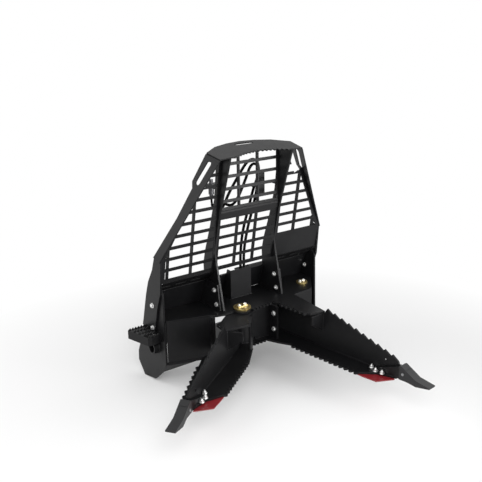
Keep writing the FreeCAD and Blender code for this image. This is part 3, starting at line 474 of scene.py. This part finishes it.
def onMovingJaw(across, along, z):
    # the mirror of the fixed jaw, swung open about the hinge
    x, y, z = onFixedJaw(across, along, z)
    hingeX, hingeY = frameSize["hinge"]
    x, y = jawSize["span"] - x - hingeX, y + jawSize["back"] - hingeY
    turn = math.radians(-frameSize["open"])
    turnedX, turnedY = x * math.cos(turn) - y * math.sin(turn), x * math.sin(turn) + y * math.cos(turn)
    return (hingeX + turnedX, hingeY + turnedY, z)


def fastener(radius, height, washer, thin, thread, beyond):
    # hexagon, washer and thread end in millimetres, as the tree's inputs
    sizes = {"Hexagon Radius": radius, "Hexagon Height": height, "Washer Radius": washer,
             "Washer Height": thin, "Thread Radius": thread, "Thread Height": beyond}
    inputs = {label: size / 1000 for label, size in sizes.items()}
    return dict(inputs, Finish=finishes["zincBolt"])


# Bolts that lie along x: each hole has the head's face, the nut's face, y and z

hexBolts = fastenerTree()
sideHead = fastener(13, 8.2, 15.5, 2.4, 7.15, 0.6)
sideNut = fastener(13, 8.2, 15.5, 2.4, 7.5, 2.5)
ribFaces = (-(frameSize["ribX"] + 2 * frameSize["plate"]), -frameSize["ribX"])
legFaces = (-(frameSize["sideOut"] + frameSize["plate"]), -(frameSize["sideOut"] - frameSize["plate"]))
rootFaces = (frameSize["rootX"], frameSize["rootX"] + frameSize["plate"])
sideBolts = {
    "guardBoltSet": {"body": "frame", "standsFor": ["guard_bolts"], "sides": (1, -1),
                     "holes": [(*ribFaces, -6, 550), (*ribFaces, -25, 465),
                               (*legFaces, 111, 505), (*legFaces, 120, 364)]},
    "rootBoltSet": {"body": "frame", "standsFor": ["root_bolts"], "sides": (1,),
                    "holes": [(*rootFaces, -169, 372), (*rootFaces, -169, 270)]},
}


def makeSideBolts(name, settings):
    meshes = []
    for side in settings["sides"]:
        heads = [(side * head, y, z) for head, nut, y, z in settings["holes"]]
        nuts = [(side * nut, y, z) for head, nut, y, z in settings["holes"]]
        meshes.append(grow(name, spotMesh(name, heads, (-side, 0, 0)), hexBolts, sideHead))
        meshes.append(grow(name, spotMesh(name, nuts, (side, 0, 0)), hexBolts, sideNut))
    piece(name, meshes, settings["body"], settings["standsFor"])


for name, settings in sideBolts.items():
    makeSideBolts(name, settings)


# Upright bolts: nuts on the jaws' feet, and heads on the two yellow caps

def pairAbout(centre, reach, z):
    x, y = centre
    return [(x - reach, y, z), (x + reach, y, z)]


bladeNut = fastener(11.5, 10, 15, 2.4, 6.6, 9)
hingeCapPair = {"reach": 20, "z": 442.5}
baseCapPair = {"reach": 15, "z": 444.8}
uprightBolts = {
    "fixedBladeBoltSet": {"body": "frame", "standsFor": ["fixed_jaw_blade_bolts"], "shape": bladeNut,
                          "spots": [onFixedJaw(a, b, frameSize["soleTop"]) for a, b in jawSize["bolts"]]},
    "movingBladeBoltSet": {"body": "moving_jaw", "standsFor": ["moving_jaw_blade_bolts"], "shape": bladeNut,
                           "spots": [onMovingJaw(a, b, frameSize["floor"]) for a, b in jawSize["bolts"]]},
    "hingeCapBolts": {"body": "frame", "standsFor": [], "shape": fastener(10.6, 15.2, 12.5, 2, 6, 2),
                      "spots": pairAbout(frameSize["hinge"], **hingeCapPair)},
    "baseCapBolts": {"body": "frame", "standsFor": [], "shape": fastener(9.6, 8, 11.5, 1.6, 5, 2),
                     "spots": pairAbout(frameSize["basePin"], **baseCapPair)},
}
for name, settings in uprightBolts.items():
    grown = grow(name, spotMesh(name, settings["spots"], (0, 0, 1)), hexBolts, settings["shape"])
    piece(name, [grown], settings["body"], settings["standsFor"])


# Beads: a rippled round bead along each line, its ends closed

def beadTree():
    bench = Grower("beadTree", [("Bead Radius", "Float"), ("Ripple Pitch", "Float"), ("Ripple", "Float"),
                                ("Finish", "Material")])
    pointsPerRipple = 3
    line = bench.node("GeometryNodeMeshToCurve", {}, {0: bench.given("Geometry")})
    line = bench.node("GeometryNodeResampleCurve", {"mode": "LENGTH"}, {
        0: line, "Length": bench.given("Ripple Pitch") / pointsPerRipple})
    place = bench.node("GeometryNodeSplineParameter", out=1)
    wave = (place * (2 * math.pi) / bench.given("Ripple Pitch")).sine()
    ring = bench.node("GeometryNodeCurvePrimitiveCircle", {}, {"Resolution": 8, "Radius": 1.0})
    bead = bench.node("GeometryNodeCurveToMesh", {}, {
        0: line, 1: ring, "Scale": bench.given("Bead Radius") * (1 + wave * bench.given("Ripple")),
        "Fill Caps": True})
    return bench.deliver(bench.node("GeometryNodeSetShadeSmooth", {}, {0: bead}))


def lineMesh(name, lines):
    places, links = [], []
    for line in lines:
        first = len(places)
        places += line
        links += [(first + i, first + i + 1) for i in range(len(line) - 1)]
    mesh = bpy.data.meshes.new(name)
    mesh.from_pydata(places, links, [])
    return mesh


beads = beadTree()


# Hoses on smooth curves, with the route's own points (x and z in an upright plane at a depth y)

hoses = {
    "hoseA": {"node": "hose_a", "depth": 68, "coupler": "coupler_a", "route": [
        (38, 470), (34, 588), (33, 712), (62, 850), (112, 990), (146, 1115), (162, 1258), (85, 1292),
        (-14, 1168), (-76, 1084), (-112, 1010), (-190, 1010), (-190, 1086)]},
    "hoseB": {"node": "hose_b", "depth": 86, "coupler": "coupler_b", "route": [
        (22, 475), (20, 590), (22, 712), (42, 845), (88, 975), (126, 1092), (164, 1165), (167, 1237),
        (111, 1252), (62, 1140), (-16, 1008), (-88, 1028), (-124, 1086), (-124, 1130)]},
}
hoseRadius = 6.5

# Corrugated sleeves over the hoses, which leave both ends bare
sleeveShape = {"Bead Radius": 0.0086, "Ripple Pitch": 0.011, "Ripple": 0.05}
sleeveBare = 0.03


def routeCurve(name, settings):
    curve = bpy.data.curves.new(name, "CURVE")
    curve.dimensions = "3D"
    curve.bevel_depth = hoseRadius / 1000
    curve.bevel_resolution = 5
    curve.resolution_u = 10
    curve.use_fill_caps = True
    spline = curve.splines.new("NURBS")
    spline.points.add(len(settings["route"]) - 1)
    for point, (x, z) in zip(spline.points, settings["route"]):
        point.co = (*at(x, settings["depth"], z), 1.0)
    spline.order_u = 3
    spline.use_endpoint_u = True
    curve.materials.append(finishes["hoseBlack"])
    return curve


def middleLine(curve):
    # points read from the spline, by a copy of the curve with no bevel
    plain = bpy.data.objects.new("plainLine", curve.copy())
    plain.data.bevel_depth = 0
    scene.collection.objects.link(plain)
    bpy.context.view_layer.update()
    mesh = bpy.data.meshes.new_from_object(plain.evaluated_get(bpy.context.evaluated_depsgraph_get()))
    bpy.data.objects.remove(plain)
    return [vertex.co.copy() for vertex in mesh.vertices]


def makeSleeve(name, line, length):
    run, kept = 0.0, []
    for before, point in zip(line, line[1:]):
        run += (point - before).length
        if sleeveBare < run < length - sleeveBare:
            kept.append(tuple(point))
    values = dict(sleeveShape, Finish=finishes["hoseBlack"])
    return piece(name, [grow(name, lineMesh(name, [kept]), beads, values)], "frame")


def makeHose(name, settings):
    curve = routeCurve(name, settings)
    hose = bpy.data.objects.new(name, curve)
    scene.collection.objects.link(hose)
    line = middleLine(curve)
    length = sum((b - a).length for a, b in zip(line, line[1:]))
    cover = makeSleeve(name + "Sleeve", line, length)
    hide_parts(settings["node"])
    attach(hose, "frame")
    x, z = settings["route"][0]
    at(x, settings["depth"], z)
    print("hose", name, "length", round(length, 3))


for name, settings in hoses.items():
    makeHose(name, settings)


# Weld seams, in millimetres: a bead's middle stands off its corner by the gap

weldGap = 1.2
weldShape = {"Bead Radius": 0.0038, "Ripple Pitch": 0.0075, "Ripple": 0.14}
seamPlaces = {"ribInside": (-74, 190), "ribOutside": (-60, 150), "channelHalf": 77, "channelFront": 53,
              "channelSide": (56, 175), "throatFront": -116, "throatSpan": (-24, 78),
              "rootSpan": (-198, -118), "bossCentre": (110, 245), "bossRadius": 38,
              "boxCorner": (-565, 11), "boxHeight": (180, 420)}
jawSeamEnds = {"outerWallStart": 14, "roofEnd": 8, "gussetTop": 2, "outerShankStart": 470,
               "innerShankStart": 500}


def ringSeam(x, y, z, radius, axis, steps=36):
    points = []
    for step in range(steps + 1):
        turn = math.radians(360 * step / steps)
        a, b = radius * math.cos(turn), radius * math.sin(turn)
        points.append((x + a, y + b, z) if axis == "z" else (x, y + a, z + b))
    return points


def jawSeams(place, foot, roof):
    # foot and roof of the wall, the gusset and the shank
    low, high = foot + weldGap, roof - weldGap
    inside, outside = jawSize["wallIn"] - weldGap, weldGap
    start, end = jawSize["wallRun"]
    gusset = jawSize["gussetHalf"] + weldGap
    gussetLow, gussetHigh = roof - jawSize["gussetDrop"], roof - jawSeamEnds["gussetTop"]
    shankOut, shankIn = jawSize["shankOut"] + weldGap, jawSize["shankIn"] - weldGap
    return [
        [place(inside, start, low), place(inside, end, low)],
        [place(outside, jawSeamEnds["outerWallStart"], low), place(outside, end, low)],
        [place(inside, start, high), place(inside, jawSeamEnds["roofEnd"], high)],
        [place(inside, -gusset, gussetLow), place(inside, -gusset, gussetHigh)],
        [place(inside, gusset, gussetLow), place(inside, gusset, gussetHigh)],
        [place(shankOut, jawSeamEnds["outerShankStart"], low), place(shankOut, jawSize["shankEnd"], low)],
        [place(shankIn, jawSeamEnds["innerShankStart"], low), place(shankIn, jawSize["shankEnd"], low)],
    ]


def alongY(x, span, z):
    return [(x, span[0], z), (x, span[1], z)]


def alongX(span, y, z):
    return [(span[0], y, z), (span[1], y, z)]


def frameSeams():
    deck, under = frameSize["deckTop"] + weldGap, frameSize["deckLow"] - weldGap
    sole = frameSize["soleTop"] + weldGap
    ribInside = frameSize["ribX"] - weldGap
    ribOutside = frameSize["ribX"] + 2 * frameSize["plate"] + weldGap
    channelSide = seamPlaces["channelHalf"] + weldGap
    channelSpan = (1 - seamPlaces["channelHalf"], seamPlaces["channelHalf"] - 1)
    throatY, rootX = seamPlaces["throatFront"] - weldGap, frameSize["rootX"] - weldGap
    bossX, bossRadius = -frameSize["sideOut"] - weldGap, seamPlaces["bossRadius"] + weldGap
    seams = jawSeams(onFixedJaw, frameSize["soleTop"], frameSize["deckLow"])
    for side in (-1, 1):
        seams += [
            alongY(side * ribInside, seamPlaces["ribInside"], deck),
            alongY(side * ribOutside, seamPlaces["ribOutside"], deck),
            alongY(side * channelSide, seamPlaces["channelSide"], deck),
        ]
    seams += [
        alongX(channelSpan, seamPlaces["channelFront"] - weldGap, deck),
        alongX(seamPlaces["throatSpan"], throatY, sole),
        alongX(seamPlaces["throatSpan"], throatY, under),
        alongY(rootX, seamPlaces["rootSpan"], sole),
        alongY(rootX, seamPlaces["rootSpan"], under),
        ringSeam(bossX, *seamPlaces["bossCentre"], bossRadius, "x"),
        [(*seamPlaces["boxCorner"], z) for z in seamPlaces["boxHeight"]],
    ]
    return seams


def movingSeams():
    hubRadius = 53
    foot, roof = frameSize["floor"], frameSize["roof"]
    return jawSeams(onMovingJaw, foot, roof) + [
        ringSeam(*frameSize["hinge"], foot + weldGap, hubRadius, "z"),
        ringSeam(*frameSize["hinge"], roof - weldGap, hubRadius, "z")]


welds = {
    "frameWelds": {"body": "frame", "seams": frameSeams(), "finish": "frameBlack"},
    "movingJawWelds": {"body": "moving_jaw", "seams": movingSeams(), "finish": "jawBlack"},
}
for name, settings in welds.items():
    values = dict(weldShape, Finish=finishes[settings["finish"]])
    lines = [[tuple(at(*point)) for point in seam] for seam in settings["seams"]]
    piece(name, [grow(name, lineMesh(name, lines), beads, values)], settings["body"])


# Studio: pale floor that fades to white, white backdrop and soft lamps

studio = {
    "reach": 40.0, "floorTone": (0.835, 0.835, 0.835), "fadeStart": 0.75, "fadeWidth": 1.6, "ambient": 0.59,
    "lamps": {
        "keyLamp": {"place": (-2000, -3300, 2600), "aim": (0, -200, 500), "size": 2.2, "power": 88.0},
        "sideLamp": {"place": (-3600, -600, 2600), "aim": (0, -200, 500), "size": 2.0, "power": 23.0},
        "lowLamp": {"place": (-1800, -2800, 600), "aim": (0, -200, 500), "size": 1.5, "power": 32.0},
        "rightLamp": {"place": (3300, -300, 2600), "aim": (0, -200, 500), "size": 2.0, "power": 13.0},
        "rimLamp": {"place": (-3000, 2400, 2300), "aim": (-300, -100, 800), "size": 2.0, "power": 30.0},
        "frontLamp": {"place": (800, -2300, 1000), "aim": (100, 0, 900), "size": 1.0, "power": 15.0,
                      "spread": 75},
    },
}


def seenWhite(bench):
    # 1 on camera, glossy and transmission rays, where the studio shows as plain white
    path = bench.tree.nodes.new("ShaderNodeLightPath")
    rays = [Signal(bench, path.outputs[name]) for name in
            ("Is Camera Ray", "Is Glossy Ray", "Is Transmission Ray")]
    return (rays[0] + rays[1] + rays[2]).clipped()


def makeFloor(settings):
    mesh = bpy.data.meshes.new("studioFloor")
    reach = settings["reach"]
    mesh.from_pydata([(-reach, -reach, 0), (reach, -reach, 0), (reach, reach, 0), (-reach, reach, 0)], [],
                     [(0, 1, 2, 3)])
    floor = bpy.data.objects.new("studioFloor", mesh)
    scene.collection.objects.link(floor)
    paint = Paint("floorPaper")
    tone = settings["floorTone"]
    grain = paint.noise(60.0, 2.0, 0.5)
    colour = paint.mix(grain, tone, tuple(part + 0.01 for part in tone))
    paint.finish(colour, 0.95, specular=0.0)
    surface = paint.output.inputs["Surface"].links[0].from_socket
    away = paint.node("ShaderNodeVectorMath", {"operation": "LENGTH"}, {0: paint.place()}, out=1)
    fade = away.above(settings["fadeStart"], settings["fadeWidth"])
    glow = paint.node("ShaderNodeEmission", {}, {"Strength": 1.0})
    both = paint.node("ShaderNodeMixShader", {}, {0: fade * seenWhite(paint), 1: Signal(paint, surface),
                                                  2: glow})
    paint.tree.links.new(both.socket, paint.output.inputs["Surface"])
    mesh.materials.append(paint.material)


def makeWorld(settings):
    world = bpy.data.worlds.new("studioWorld")
    world.use_nodes = True
    scene.world = world
    bench = Bench(world.node_tree)
    bench.tree.nodes.clear()
    strength = settings["ambient"] + (1.0 - settings["ambient"]) * seenWhite(bench)
    back = bench.node("ShaderNodeBackground", {}, {"Color": (1.0, 1.0, 1.0), "Strength": strength})
    output = bench.tree.nodes.new("ShaderNodeOutputWorld")
    bench.tree.links.new(back.socket, output.inputs["Surface"])


def makeLamp(name, settings):
    data = bpy.data.lights.new(name, "AREA")
    data.size = settings["size"]
    data.energy = settings["power"]
    data.spread = math.radians(settings.get("spread", 180))
    lamp = bpy.data.objects.new(name, data)
    scene.collection.objects.link(lamp)
    lamp.location = at(*settings["place"])
    lamp.rotation_mode = "QUATERNION"
    lamp.rotation_quaternion = (at(*settings["aim"]) - lamp.location).to_track_quat("-Z", "Y")
    lamp.visible_camera = False


makeFloor(studio)
makeWorld(studio)
for name, settings in studio["lamps"].items():
    makeLamp(name, settings)
scene.view_settings.view_transform = "Standard"
print("studio lit")
